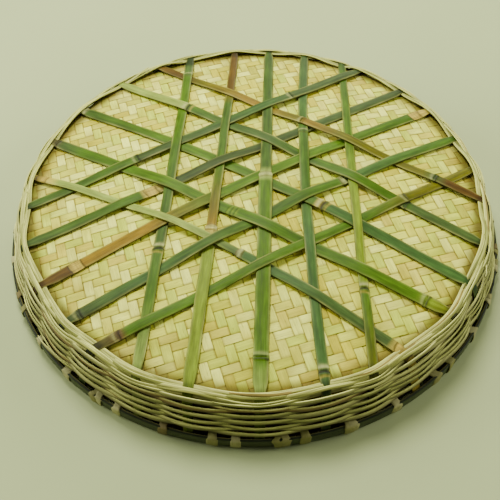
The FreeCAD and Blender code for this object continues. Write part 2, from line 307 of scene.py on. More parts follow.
class Strips:
    """Swept strips collected into one mesh, each vertex with its colour, fibre place and skin."""

    def __init__(self):
        self.points, self.faces, self.tints, self.grains, self.skins = [], [], [], [], []
        self.count = 0

    def sweep(self, grid, tint, along, across, skin=0.0, loop=False):
        """Add a strip. grid holds stations by section corners; along and across are its fibre."""
        stations, corners = grid.shape[:2]
        index = self.count + np.arange(stations * corners).reshape(stations, corners)
        if loop:
            index = np.vstack((index, index[:1]))
        near, far = index[:-1], index[1:]
        quads = np.stack((near, np.roll(near, -1, 1), np.roll(far, -1, 1), far), -1)
        self.faces += quads.reshape(-1, 4).tolist()
        if not loop:
            self.faces += [index[0, ::-1].tolist(), index[-1].tolist()]
        shape = (stations, corners)
        seed = GRAIN_SHIFT * len(self.points)
        grain = np.stack((np.broadcast_to(along, shape), np.broadcast_to(across, shape),
                          np.full(shape, seed)), -1)
        self.points.append(grid.reshape(-1, 3))
        self.tints.append(np.broadcast_to(tint, shape + (3,)).reshape(-1, 3))
        self.grains.append(grain.reshape(-1, 3))
        self.skins.append(np.broadcast_to(skin, shape).reshape(-1))
        self.count += stations * corners

    def piece(self, name, material, slot, *nodes):
        """Make the mesh, put it on the basket and let it stand for its nodes."""
        mesh = bpy.data.meshes.new(name)
        mesh.from_pydata((np.concatenate(self.points) * MM).tolist(), [], self.faces)
        tints = np.c_[np.concatenate(self.tints), np.ones(self.count)]
        for label, kind, key, values in (("tint", "FLOAT_COLOR", "color", tints),
                                         ("grain", "FLOAT_VECTOR", "vector", self.grains),
                                         ("skin", "FLOAT", "value", self.skins)):
            attribute = mesh.attributes.new(label, kind, "POINT")
            attribute.data.foreach_set(key, np.concatenate(values).ravel())
        mesh.polygons.foreach_set("use_smooth", np.ones(len(mesh.polygons), bool))
        mesh.set_sharp_from_angle(angle=SHARP_EDGE)
        mesh.update()
        mesh.materials.append(material)
        piece = add_object(name, mesh)
        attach(piece, "root")
        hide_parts(*nodes)


def placed(right, up, back, place):
    """Matrix of an object that looks the other way from back."""
    return Matrix([[*row, p] for row, p in zip(np.c_[right, up, back], place)] + [[0, 0, 0, 1]])


# ---- materials


class Graph:
    """Short way of writing a material's nodes."""

    def __init__(self, name):
        self.material = bpy.data.materials.new(name)
        self.material.use_nodes = True
        self.nodes = self.material.node_tree.nodes
        self.links = self.material.node_tree.links
        self.shader = self.nodes["Principled BSDF"]

    def add(self, kind, **values):
        """A new node with its settings."""
        node = self.nodes.new(kind)
        for key, value in values.items():
            setattr(node, key, value)
        return node

    def feed(self, socket, source):
        """Link an output to a socket, or set the socket's value."""
        if hasattr(source, "is_linked"):
            self.links.new(source, socket)
        else:
            socket.default_value = source

    def put(self, node, values):
        """Set a node's inputs by name."""
        for name, value in values.items():
            node.inputs[name].default_value = value

    def attribute(self, name, output):
        return self.add("ShaderNodeAttribute", attribute_name=name).outputs[output]

    def math(self, operation, first, second):
        node = self.add("ShaderNodeMath", operation=operation)
        self.feed(node.inputs[0], first)
        self.feed(node.inputs[1], second)
        return node.outputs[0]

    def scaled(self, vector, scale):
        node = self.add("ShaderNodeVectorMath", operation="MULTIPLY")
        self.feed(node.inputs[0], vector)
        node.inputs[1].default_value = scale
        return node.outputs[0]

    def noise(self, vector, scale, detail, roughness=0.5):
        node = self.add("ShaderNodeTexNoise")
        self.feed(node.inputs["Vector"], self.scaled(vector, scale))
        self.put(node, {"Scale": 1.0, "Detail": detail, "Roughness": roughness})
        return node.outputs["Fac"]

    def between(self, value, low, high, low_out, high_out):
        """Value moved from one range to another."""
        node = self.add("ShaderNodeMapRange")
        self.feed(node.inputs["Value"], value)
        self.put(node, {"From Min": low, "From Max": high, "To Min": low_out, "To Max": high_out})
        return node.outputs["Result"]

    def shade(self, colour, value):
        """Colour multiplied by a value."""
        node = self.add("ShaderNodeVectorMath", operation="SCALE")
        self.feed(node.inputs[0], colour)
        self.feed(node.inputs["Scale"], value)
        return node.outputs[0]

    def mix(self, share, first, second):
        node = self.add("ShaderNodeMix", data_type="RGBA")
        self.feed(node.inputs["Factor"], share)
        self.feed(node.inputs[6], first)
        self.feed(node.inputs[7], second)
        return node.outputs[2]


FLECK_COLOUR = (0.07, 0.045, 0.018, 1.0)
BARK_ROUGHNESS = -0.22  # what bark adds to the roughness
FIBRE_HEIGHT = 0.0003  # metres
FLOOR_COLOURS = (0.40, 0.46, 0.225, 1.0), (0.44, 0.50, 0.25, 1.0)


def bamboo(name, streak, blotch, rough, gloss, fibre_bump, fleck):
    """Split bamboo: fine fibres along each strip, soft blotches, dark flecks, waxy where bark."""
    g = Graph(name)
    grain = g.attribute("grain", "Vector")
    skin = g.attribute("skin", "Fac")
    fibres = g.noise(grain, (0.035, 2.6, 1.0), detail=3.0, roughness=0.6)
    patches = g.noise(grain, (0.055, 0.22, 1.0), detail=2.0)
    specks = g.noise(grain, (0.16, 1.9, 1.0), detail=1.0)
    colour = g.shade(g.attribute("tint", "Color"),
                     g.between(fibres, 0.25, 0.75, 1 - streak, 1 + streak))
    colour = g.shade(colour, g.between(patches, 0.3, 0.7, 1 - blotch, 1 + blotch))
    flecks = g.between(specks, 0.66, 0.76, 0.0, fleck)
    colour = g.mix(flecks, colour, FLECK_COLOUR)
    g.feed(g.shader.inputs["Base Color"], colour)
    waxy = g.math("MULTIPLY", skin, BARK_ROUGHNESS)
    roughness = g.math("ADD", g.between(fibres, 0.2, 0.8, rough - 0.07, rough + 0.09), waxy)
    g.feed(g.shader.inputs["Roughness"], roughness)
    g.put(g.shader, {"IOR": 1.45, "Specular IOR Level": gloss})
    relief = g.add("ShaderNodeBump")
    g.put(relief, {"Strength": fibre_bump, "Distance": FIBRE_HEIGHT})
    g.feed(relief.inputs["Height"], fibres)
    g.feed(g.shader.inputs["Normal"], relief.outputs["Normal"])
    return g.material


# After the name come streak, blotch, roughness, gloss, fibre bump and fleck
BARK = bamboo("bamboo_bark", 0.46, 0.26, 0.68, 0.14, 0.55, 0.55)
MAT_STRIP = bamboo("bamboo_mat_strip", 0.17, 0.14, 0.62, 0.12, 0.40, 0.5)
WEAVER_STRIP = bamboo("bamboo_weaver", 0.24, 0.20, 0.60, 0.22, 0.5, 0.45)
HOOP_STRIP = bamboo("bamboo_hoop", 0.22, 0.20, 0.64, 0.16, 0.45, 0.2)
LASHING_STRIP = bamboo("bamboo_lashing", 0.14, 0.12, 0.60, 0.3, 0.45, 0.3)


def floor_material():
    g = Graph("pale_floor")
    place = g.add("ShaderNodeTexCoord").outputs["Object"]
    cloudy = g.noise(place, (3.0, 3.0, 3.0), detail=3.0)
    tint = g.mix(g.between(cloudy, 0.3, 0.7, 0.0, 1.0), *FLOOR_COLOURS)
    g.feed(g.shader.inputs["Base Color"], tint)
    g.put(g.shader, {"Roughness": 0.9})
    return g.material


# ---- slats and stakes


FAR = 260.0  # no slat reaches this far from its middle
HALVINGS = 40  # of the stretch in which a slat crosses a circle
ROUNDS = 30  # most tries at finding a crossing, or which contacts carry load
HELD = 1e3  # stiffness that holds a slat's ends in the wall
CONTACT_SOFTNESS = 1e-6
CONTACT_ERROR = 1e-3
CONTACT_STEP = 3  # every third resting place can touch the mat


class Slat:
    """One slat of the lattice: its line in plan, its crossings and its height along its length."""

    def __init__(self, family, number, heading, layout):
        self.family, self.number = family, number
        self.name = "slat_%s_%d" % (family, number + 1)
        self.heading = math.radians(heading)
        self.offset, lean, self.bow, self.width = layout
        self.lean = math.tan(math.radians(lean))
        low, high = (float(self.reach(BASE_RADIUS - 1, end)) for end in (-1, 1))
        self.base = np.linspace(low, high, int((high - low) / SLAT_STEP) + 1)
        self.rests = np.linspace(low, high, int((high - low) / REST_STEP) + 1)
        self.heights = np.full(len(self.rests), LYING)

    def plan(self, t):
        """Points in plan at distances t along the slat from its middle."""
        t = np.asarray(t, float)
        across = self.offset + self.lean * t + self.bow * (t / BOW_LENGTH) ** 2
        c, s = math.cos(self.heading), math.sin(self.heading)
        return np.stack((across * c - t * s, across * s + t * c), -1)

    def reach(self, radius, end):
        """The t at which the slat crosses a circle, at its end +1 or -1."""
        radius = np.asarray(radius, float)
        near, far = np.zeros(radius.shape), np.full(radius.shape, FAR)
        for _ in range(HALVINGS):
            middle = (near + far) / 2
            inside = np.linalg.norm(self.plan(end * middle), axis=-1) < radius
            near, far = np.where(inside, middle, near), np.where(inside, far, middle)
        return end * near

    def angle(self, radius, end):
        """Where the slat crosses a circle, in degrees round it."""
        x, y = self.plan(self.reach(radius, end))
        return math.degrees(math.atan2(y, x)) % 360

    def weights(self, t):
        """Shares of the resting places that give the height at one distance."""
        place = (t - self.rests[0]) / (self.rests[1] - self.rests[0])
        i = int(place)
        shares = np.zeros(len(self.rests))
        shares[i:i + 2] = 1 - (place - i), place - i
        return shares

    def line(self):
        """Middle line from end to end: t, points, and how far each is turned to the wall."""
        plan = self.plan(self.base)
        radius = np.linalg.norm(plan, axis=1)
        heights = np.interp(self.base, self.rests, self.heights)
        heights = np.convolve(np.pad(heights, 3, mode="edge"), np.full(7, 1 / 7), mode="valid")
        base = np.c_[plan, mat_top(radius) + heights]
        down = np.linspace(0, WALL_LENGTH, int(WALL_LENGTH / SLAT_STEP) + 1)[1:]
        radii, drops, _ = wall_point(down)
        first, last = (np.c_[self.plan(self.reach(radii, end)), drops] for end in (-1, 1))
        points = np.concatenate((first[::-1], base, last))
        places = np.concatenate((self.base[0] - down[::-1], self.base, self.base[-1] + down))
        turned = np.concatenate((np.ones(len(down)),
                                 smooth((radius - LIFT_START) / (BASE_RADIUS - LIFT_START)),
                                 np.ones(len(down))))
        return places, points, turned


def crossing(a, b):
    """The distances along two slats at which they cross in plan."""
    ta = tb = 0.0
    for _ in range(ROUNDS):
        gap = b.plan(tb) - a.plan(ta)
        da = a.plan(ta + 0.5) - a.plan(ta - 0.5)
        db = b.plan(tb + 0.5) - b.plan(tb - 0.5)
        det = da[1] * db[0] - da[0] * db[1]
        ta += (gap[1] * db[0] - gap[0] * db[1]) / det
        tb += (gap[1] * da[0] - gap[0] * da[1]) / det
    return ta, tb


def springs(slat):
    """Bending stiffness of a slat with a light pull to the mat and its ends held: matrix, load."""
    step = slat.rests[1] - slat.rests[0]
    whole = np.eye(len(slat.rests))
    curve = (whole[:-2] - 2 * whole[1:-1] + whole[2:]) / step ** 2
    radius = np.linalg.norm(slat.plan(slat.rests), axis=1)
    held = HELD * (radius > LIFT_END)
    stiffness = SETTLING ** 4 * curve.T @ curve + whole + np.diag(held)
    return stiffness, LYING + held * STAKE_GAP


def settle(slats, crossings):
    """Bend the slats over each other and down to the mat, touching but not pulling."""
    contacts = len(crossings) + sum(len(slat.rests[::CONTACT_STEP]) for slat in slats)
    rows = [np.zeros((contacts, len(slat.rests))) for slat in slats]
    gaps = np.full(contacts, LYING)
    for k, (over, under, t_over, t_under) in enumerate(crossings):
        rows[over][k] += slats[over].weights(t_over)
        rows[under][k] -= slats[under].weights(t_under)
        gaps[k] = LAYER
    k = len(crossings)
    for slat, part in zip(slats, rows):
        for i in range(0, len(slat.rests), CONTACT_STEP):
            part[k, i] = 1.0
            k += 1
    free, replies = [], []
    for slat, part in zip(slats, rows):
        stiffness, load = springs(slat)
        softness = np.linalg.inv(stiffness)
        free.append(softness @ load)
        replies.append(softness @ part.T)
    reply = sum(part @ answer for part, answer in zip(rows, replies))
    lacking = gaps - sum(part @ rest for part, rest in zip(rows, free))
    touching = lacking > 0
    force = np.zeros(contacts)
    for _ in range(ROUNDS):
        force[:] = 0
        block = reply[np.ix_(touching, touching)] + CONTACT_SOFTNESS * np.eye(touching.sum())
        force[touching] = np.linalg.solve(block, lacking[touching])
        short = lacking - reply @ force > CONTACT_ERROR
        settled = (touching & (force > 0)) | (short & ~touching)
        if (settled == touching).all():
            break
        touching = settled
    for slat, rest, answer in zip(slats, free, replies):
        slat.heights = rest + answer @ np.maximum(force, 0)


def make_lattice():
    """The slats, bent over each other as the draft says."""
    slats = [Slat(family, number, heading, layout)
             for family, (heading, layouts) in LATTICE.items()
             for number, layout in enumerate(layouts)]
    crossings = []
    for (first, second), rows in DRAFT.items():
        for i, a in enumerate(slats):
            for j, b in enumerate(slats):
                if (a.family, b.family) != (first, second):
                    continue
                ta, tb = crossing(a, b)
                if rows[a.number][b.number] == "O":
                    crossings.append((i, j, ta, tb))
                else:
                    crossings.append((j, i, tb, ta))
    inside = [c for c in crossings if np.linalg.norm(slats[c[0]].plan(c[2])) < LIFT_END]
    settle(slats, inside)
    return slats


# Section of a slat: across and height, from -1 to 1. The first nine points are the bark.
SLAT_SECTION = np.array([
    (-0.94, 0.52), (-0.80, 0.68), (-0.56, 0.85), (-0.28, 0.96), (0.0, 1.0),
    (0.28, 0.96), (0.56, 0.85), (0.80, 0.68), (0.94, 0.52),
    (1.0, 0.25), (0.97, -0.80), (0.85, -1.0), (-0.85, -1.0), (-0.97, -0.80), (-1.0, 0.25)])
BARK_POINTS = 9
IS_BARK = (np.arange(len(SLAT_SECTION)) < BARK_POINTS).astype(float)
SLAT_ROLL = math.radians(3.0)  # most that a slat rolls about its own line
TRIPLE_PLACES = (-3.4, 0.0, 3.4)

# What a culm node adds to a slat's height and to its half width, as bumps: height, place, width.
# Kinds that aren't in NODE_RELIEF are raised like a ring.
RING_RELIEF = (((0.6, -1.3, 0.9), (0.45, 1.3, 0.8), (-0.3, 0.0, 0.5)), ((0.4, 0.0, 2.2),))
NODE_RELIEF = {
    "scar": (((0.75, -1.6, 1.3), (0.45, 2.4, 1.1), (-0.55, 0.5, 0.9)),
             ((0.35, -1.5, 2.0), (-0.5, 1.0, 0.9))),
    "triple": (tuple((0.4, place, 0.8) for place in TRIPLE_PLACES), ((0.25, 0.0, 4.0),)),
}

# Bands of colour across a culm node: colour, share, place, width
PALE_BANDS = (("powder", 0.8, 0.0, 2.2), ("brown", 0.7, 2.6, 0.5), ("brown", 0.6, -2.4, 0.45))
NODE_BANDS = {
    "ring": (("powder", 0.45, 2.4, 1.2), ("dark", 0.75, 0.0, 0.7), ("brown", 0.5, -2.2, 0.5)),
    "dark": (("powder", 0.35, 3.4, 1.4), ("dark", 0.85, -0.9, 0.9), ("dark", 0.7, 1.3, 0.5)),
    "pale": PALE_BANDS,
    "cut": PALE_BANDS,
    "scar": (("powder", 0.75, 4.2, 1.8), ("dark", 0.92, 0.3, 1.7), ("straw", 0.5, -3.2, 0.9)),
    "triple": tuple(band for place in TRIPLE_PLACES
                    for band in (("yellow", 0.6, place, 0.9), ("dark", 0.55, place + 1.4, 0.4))),
}


def read_list(text):
    """Pairs of a distance and a word, from text such as "-60 green, 20 straw"."""
    pairs = [item.split() for item in text.split(",")]
    return [(float(place), word) for place, word in pairs]


def bumps(places, rows):
    """Sum of soft bumps, each given as its height, place and width."""
    return sum(height * bump(places - place, width) for height, place, width in rows)


def node_relief(t, nodes, rng):
    """Height and half width that the culm nodes add along a slat, in millimetres."""
    rise, spread = np.zeros(len(t)), np.zeros(len(t))
    for place, kind in nodes:
        d = t - place
        if kind == "patch":
            rise -= 0.45 * (1 - smooth((abs(d) - 3.5) / 2.0))
            rise += 0.25 * wander(rng, t, 1.2) * bump(d, 4.0)
            continue
        raised, widened = NODE_RELIEF.get(kind, RING_RELIEF)
        rise += bumps(d, raised)
        spread += bumps(d, widened)
        if kind == "pale":
            spread += 0.35 - 0.9 * smooth((d + 1.0) / 3.0)
    return rise, spread


def node_tint(tint, t, x, nodes, rng):
    """Scars, rings and powder at the culm nodes. Here t is a column."""
    for place, kind in nodes:
        d = t - place + 0.9 * wander(rng, t, 2.5) * x
        d = d + 0.8 * x ** 2
        if kind == "patch":
            share = 1 - smooth((abs(d) - 4.2) / 1.4)
            rough = wander(rng, t, 0.8) * 0.5 + 0.5
            tint = blend(tint, PALETTE["straw"], share)
            tint = blend(tint, PALETTE["brown"], share * rough * 0.5)
            tint = blend(tint, PALETTE["dark"], 0.8 * bump(abs(d) - 5.2, 0.7))
            continue
        for word, share, middle, width in NODE_BANDS[kind]:
            tint = blend(tint, PALETTE[word], share * bump(d - middle, width))
    return tint


def slat_grid(slat, nodes, rng):
    """A slat's sections, crowned and uneven at the edges: places, widths and points."""
    t, points, turned = slat.line()
    across = np.array((math.cos(slat.heading), math.sin(slat.heading), 0.0))
    along = unit(np.gradient(points, axis=0))
    level = unit(np.cross(along, np.c_[points[:, :2], np.full(len(t), DOME_RADIUS)]))
    tangent = unit(np.c_[-points[:, 1], points[:, 0], np.zeros(len(t))])
    tangent *= np.where(tangent @ across < 0, -1.0, 1.0)[:, None]
    up = unit(np.cross(level * (1 - turned[:, None]) + tangent * turned[:, None], along))
    side = unit(np.cross(along, up))
    roll = SLAT_ROLL * wander(rng, t, 45.0) * (1 - turned)
    side, up = (side * np.cos(roll)[:, None] + up * np.sin(roll)[:, None],
                up * np.cos(roll)[:, None] - side * np.sin(roll)[:, None])
    rise, spread = node_relief(t, nodes, rng)
    narrowed = turned ** 3
    half = (slat.width * (1 - narrowed) + STAKE_WIDTH * narrowed) / 2
    left, right = (half * (1 + 0.045 * wander(rng, t, 38.0) + 0.02 * wander(rng, t, 7.0))
                   + 0.06 * wander(rng, t, 2.2) + spread for _ in range(2))
    x, y = SLAT_SECTION.T
    wide = np.where(x < 0, left[:, None], right[:, None]) * x
    high = y * SLAT_THICKNESS / 2 + rise[:, None] * IS_BARK * (1 - 0.35 * x ** 2)
    grooves = sum(0.035 * wander(rng, t, 14.0)[:, None] * bump(x - place, 0.16)
                  for place in (-0.6, -0.2, 0.25, 0.62))
    high = high + grooves * IS_BARK
    grid = points[:, None] + side[:, None] * wide[..., None] + up[:, None] * high[..., None]
    return t, wide, grid


def slat_tints(slat, t, zones, nodes, rng):
    """Streaked bark with worn edges and nodes, split sides in painted shade, and painted shade down
    the wall.
    """
    x, t = SLAT_SECTION[:, 0], t[:, None]
    places = [place for place, _ in zones]
    colours = np.array([PALETTE[word] for _, word in zones])
    wavy = t + 2.5 * wander(rng, t, 9.0)
    base = np.stack([np.interp(wavy, places, colours[:, i]) for i in range(3)], -1)
    streaks = sum(wander(rng, t, 55.0) * bump(x - place, 0.22)
                  for place in (-0.75, -0.35, 0.05, 0.4, 0.8))
    tint = base * (1 + 0.24 * streaks[..., None])
    left, right = (wander(rng, t, 16.0) for _ in range(2))
    edge_strength = 0.55 + 0.45 * np.where(x < 0, left, right)
    tint = blend(tint, PALETTE["flesh"], 0.5 * edge_strength * smooth((abs(x) - 0.7) / 0.22))
    tint = node_tint(tint, t, x, nodes, rng)
    # The split sides are painted dark: painted shade on the slat's side faces.
    flesh = PALETTE["flesh"] * (0.86 + 0.14 * wander(rng, t, 20.0))[..., None]
    tint = np.where(IS_BARK[:, None] > 0, tint, 0.12 * flesh + 0.3 * base)
    # Painted shade: the slat is darker where it has turned down the wall as a stake.
    painted_wall_shade = smooth((abs(t) - abs(slat.base[0]) + 4) / 6)
    return tint * (1 - 0.62 * painted_wall_shade)[..., None]


def make_slat(slat, rng):
    """A split of green bamboo, from one end of its first stake to the end of its second."""
    zones, nodes = (read_list(text) for text in SLAT_LOOKS[slat.family][slat.number])
    t, wide, grid = slat_grid(slat, nodes, rng)
    tints = slat_tints(slat, t, zones, nodes, rng)
    strips = Strips()
    strips.sweep(grid, tints, t[:, None], wide, skin=IS_BARK)
    strips.piece(slat.name + "_bamboo", BARK, "green_bamboo", slat.name)


# ---- the twill mat

FLAT_BASE = DOME_RADIUS * START_LEAN
FLAT_RADIUS = FLAT_BASE + WALL_LENGTH


def dished(flat, height):
    """Bend flat points of the mat to the dome and down the wall, at heights from its middle."""
    radius = np.linalg.norm(flat, axis=-1)
    clipped = np.minimum(radius, FLAT_RADIUS)
    lean = clipped / DOME_RADIUS
    reach = DOME_RADIUS - MAT_THICKNESS / 2 + height
    centre = BASE_EDGE_HEIGHT - math.sqrt(DOME_RADIUS ** 2 - BASE_RADIUS ** 2)
    wall_radius, wall_height, _ = wall_point(np.maximum(clipped - FLAT_BASE, 0.0),
                                             height - STAKE_GAP - MAT_THICKNESS / 2)
    on_base = clipped < FLAT_BASE
    out = np.where(on_base, reach * np.sin(lean), wall_radius)
    up = np.where(on_base, centre + reach * np.cos(lean), wall_height)
    scale = out / np.maximum(radius, 1e-6)
    return np.concatenate((flat * scale[..., None], up[..., None]), -1)


# Section of a mat strip: across from -1 to 1, height in millimetres; the first two are its inside
MAT_SECTION = np.array([(-1.0, -0.22), (1.0, -0.22), (1.0, 0.10), (0.93, 0.20), (0.84, 0.22),
                        (0.0, 0.24), (-0.84, 0.22), (-0.93, 0.20), (-1.0, 0.10)])
MAT_SWING = 0.31  # how far a mat strip swings up and down
MAT_STATIONS = 5  # sections of a strip for each strip that it crosses


def twill_level(direction, number, crossed):
    """1 where a strip lies over the one it crosses, and -1 where it lies under."""
    diagonal = number + crossed if direction == 0 else crossed - number - 1
    return np.where((diagonal % 4 < 2) == (direction == 0), 1.0, -1.0)


def mat_tints(rng, direction, t, swing, radius):
    """Stained outwards, with painted shade at the strip's edges, where it lies under, under the ring
    and behind the wall.
    """
    x, y = MAT_SECTION.T
    tint = pick(rng, MAT_TINTS) * (1 + 0.05 * rng.uniform(-1, 1))
    # Strips of the second direction are painted a little lighter: a painted sheen.
    if direction == 1:
        tint = tint * 1.05
    other = pick(rng, MAT_TINTS)
    tint = blend(tint, other, 0.5 + 0.5 * wander(rng, t, 28.0))
    tints = tint * (1 + 0.09 * wander(rng, t, 13.0))[..., None]
    stained = smooth((radius - 115) / 75) * (0.4 + 0.6 * wander(rng, t, 15.0))
    tints = blend(tints, MAT_STAIN, 0.6 * np.clip(stained, 0, 1))
    # Painted shade on the mat's edge, under the ring.
    tints = blend(tints, MAT_DEEP_SHADE, 0.8 * smooth((radius - 178) / 9))
    # Painted shade where the strip dips under the strip it crosses.
    tints = blend(tints, MAT_SHADE, 0.75 * smooth((0.9 - swing) / 0.8))
    # Painted shade along the strips' long edges, stronger on one edge than the other.
    open_edge = 0.9 if direction == 0 else 0.6
    painted_edge_shade = smooth((abs(x) - 0.88) / 0.1) * np.where(x > 0, open_edge, 0.25)
    edge_strength = 0.75 + 0.25 * wander(rng, t, 9.0)
    tints = blend(tints, MAT_DEEP_SHADE, painted_edge_shade * edge_strength)
    # Painted shade on the mat's outer face where it lies behind the wall's weaving.
    behind_wall = smooth((radius - FLAT_BASE) / 6) * (y > 0)
    return blend(tints, MAT_DEEP_SHADE, 0.85 * behind_wall)


def mat_strip(strips, rng, direction, number):
    """One strip of the twill, over two and under two of the strips that cross it."""
    offset = (number + 0.5) * STRIP_PITCH + 0.12 * rng.uniform(-1, 1)
    if abs(offset) > FLAT_RADIUS - 2:
        return
    reach = math.sqrt(FLAT_RADIUS ** 2 - offset ** 2) + 1.0
    step = STRIP_PITCH / MAT_STATIONS
    t = np.arange(-reach, reach + step, step)[:, None]
    cell = t / STRIP_PITCH - 0.5
    near = np.floor(cell).astype(int)
    share = smooth((cell - near - 0.27) / 0.46)
    swing = (twill_level(direction, number, near) * (1 - share)
             + twill_level(direction, number, near + 1) * share)
    arch = 0.05 * (1 - bump(swing, 0.9))
    drift = 0.16 * wander(rng, t, 30.0)
    width = STRIP_WIDTH / 2 * (1 + 0.025 * wander(rng, t, 22.0) - 0.03 * (1 - swing ** 2))
    tilt = 0.05 * wander(rng, t, 11.0)
    x, y = MAT_SECTION.T
    across = offset + drift + width * x
    height = MAT_SWING * swing + arch + y + tilt * x
    angle = MAT_TURN + direction * math.pi / 2
    c, s = math.cos(angle), math.sin(angle)
    flat = np.stack((t * c - across * s, t * s + across * c), -1)
    tints = mat_tints(rng, direction, t, swing, np.linalg.norm(flat, axis=-1))
    strips.sweep(dished(flat, height), tints, t, across)


def make_mat(rng):
    """The twill sheet, in two pieces for each direction of its strips."""
    half = int(FLAT_RADIUS / STRIP_PITCH) + 1
    for direction, name in ((0, "mat_weft"), (1, "mat_warp")):
        for first, last, side in ((-half - 1, 0, "near"), (0, half + 1, "far")):
            strips = Strips()
            for number in range(first, last):
                mat_strip(strips, rng, direction, number)
            strips.piece("%s_%s" % (name, side), MAT_STRIP, "mat_bamboo", "mat_base", "mat_wall")


# ---- the wall's weaving


ROUND = 0.42  # how square a rounded section is: 1 is a circle, near 0 a square


def squared(values, squareness):
    """Values from -1 to 1 pushed outwards, which turns a circle into a rounded square."""
    return np.sign(values) * abs(values) ** squareness


def rounded_section(count, squareness):
    """Points of a rounded rectangle from -1 to 1, starting at the top edge."""
    a = np.linspace(0, 2 * math.pi, count, endpoint=False)
    return np.c_[-squared(np.cos(a), squareness), squared(np.sin(a), squareness)]


WEAVER_SECTION = rounded_section(14, ROUND)
WEAVER_STEP = 0.8  # degrees between a strip's sections
WEAVER_LAP = 16.0  # degrees of a row's strip that lie over the next one
WEAVER_WIDTH = 3.3  # where a strip passes inside a stake
WEAVER_THICKNESS = 1.12
NARROW_WIDTH = 2.2  # of the strips that lie side by side
WALL_RADIUS = 195.0  # turns degrees into the fibre's millimetres
LOOSE_LIFT = 2.4
TWINED_SHARE = 0.38  # of the pitch, by which a twined row's strips swing up and down
LOOSE_SHARE = 0.3  # share of the strips whose first end stands off the wall
TWINED_ROWS = 4  # rows at the shoulder whose strips cross between the stakes
# Rows at the shoulder woven with narrow strips side by side, and where the strips lie in the row
SHOULDER_SHIFTS = {0: (-1.3, -0.1, 1.1), 1: (-0.8, 0.8), 2: (-0.8, 0.8)}
SHOULDER_BRIGHTER = np.array((0.28, 0.36, -0.1))  # share added to red, green, blue


def stake_angles(slats, radius):
    """Where the stakes stand round a circle, in order, in degrees."""
    return np.array(sorted(slat.angle(radius, end) for slat in slats for end in (-1, 1)))


def stake_phase(stakes, angle):
    """Number of stakes passed at an angle, counted smoothly."""
    turns = np.floor((angle - stakes[0]) / 360)
    local = angle - 360 * turns
    rounds = np.append(stakes, stakes[0] + 360)
    return np.interp(local, rounds, np.arange(len(rounds))) + turns * len(stakes)


def ring(angle, radius, height):
    """Points, or directions, round the basket's axis."""
    return np.stack((radius * np.cos(angle), radius * np.sin(angle), height), -1)


def on_wall(turn, distance, depth):
    """Points round the wall, and the directions out of it and down it at each."""
    radius, height, angle = wall_point(np.maximum(distance, 0.0))
    a = np.radians(turn)
    out, down = ring(a, np.sin(angle), np.cos(angle)), ring(a, np.cos(angle), -np.sin(angle))
    above = np.minimum(distance, 0.0)[..., None]
    return ring(a, radius, height) + down * above + out * depth[..., None], out, down


def weaver_tints(rng, turn, swing, shoulder):
    """A pale upper edge that is partly a painted highlight, and painted shade below and behind the
    stakes.
    """
    x, y = WEAVER_SECTION.T
    tint = pick(rng, WEAVER_TINTS) * (1 + 0.10 * rng.uniform(-1, 1))
    tint = tint * (1 + shoulder * SHOULDER_BRIGHTER)
    tints = tint * (1 + 0.12 * wander(rng, turn, 12.0))[..., None]
    # Paler upper edge: partly the strip's pale cut edge, partly a painted highlight.
    tints = blend(tints, WEAVER_EDGE, 0.75 * smooth((-x - 0.5) / 0.4))
    # Painted shade on the lower part of the strip's face.
    below = smooth((x + 0.3) / 1.1) * (1 - 0.5 * shoulder)
    tints = blend(tints, WEAVER_SHADE, 0.75 * below)
    # Painted shade where the strip passes behind a stake.
    inside = smooth((-swing - 0.1) / 0.7) * (y > -0.5)
    return blend(tints, WEAVER_SHADE, 0.25 * inside * (1 - 0.5 * shoulder))


def weaver_strip(strips, rng, row, stakes, start, length, shift):
    """One strip of a row, from a start angle over a length, both in degrees."""
    turn = np.arange(start, start + length, WEAVER_STEP)[:, None]
    phase = stake_phase(stakes, turn) + 0.14 * wander(rng, turn, 9.0)
    swing = np.cos(math.pi * (phase + row))
    depth = WEAVE_DEPTH * (1.15 * swing - 0.15 * swing ** 3)
    to_end = np.minimum(turn - start, start + length - turn)
    shoulder = float(smooth((3.5 - row) / 3.0))
    depth = depth * (1 - 0.35 * shoulder) + 0.6 * shoulder
    taper = smooth(to_end / 5.0)
    lap = 1 - smooth((to_end - 6.0) / 4.0)
    is_start = turn - start < length / 2
    depth = depth + lap * np.where(is_start, 0.75, -0.45)
    if rng.random() < LOOSE_SHARE:
        depth = depth + LOOSE_LIFT * is_start * (1 - smooth(to_end / 7.0))
    width = WEAVER_WIDTH + 0.7 * smooth((swing + 0.4) / 1.2) + 0.30 * wander(rng, turn, 25.0)
    if shift:
        width = NARROW_WIDTH + 0.3 * wander(rng, turn, 25.0)
    width = width * (0.45 + 0.55 * taper)
    thick = WEAVER_THICKNESS * (1 + 0.12 * wander(rng, turn, 18.0)) * (0.55 + 0.45 * taper)
    distance = FIRST_ROW + row * WEAVER_PITCH + shift + 0.55 * wander(rng, turn, 17.0)
    if row < TWINED_ROWS:
        sway = TWINED_SHARE if row % 2 == 0 else -TWINED_SHARE
        distance = distance + sway * WEAVER_PITCH * swing
    distance = distance - 0.35 * lap * np.where(is_start, 1.0, -1.0)
    lean = math.radians(13) * wander(rng, turn, 14.0) + math.radians(9) * (swing + 0.4)
    c, s = np.cos(lean)[..., None], np.sin(lean)[..., None]
    middle, out, down = on_wall(turn, distance, depth)
    x, y = WEAVER_SECTION.T
    grid = middle + (down * c - out * s) * (width / 2 * x)[..., None]
    grid = grid + (out * c + down * s) * (thick / 2 * y)[..., None]
    along = turn * math.radians(1) * WALL_RADIUS
    strips.sweep(grid, weaver_tints(rng, turn, swing, shoulder), along, x * 1.2 + y * 0.5)


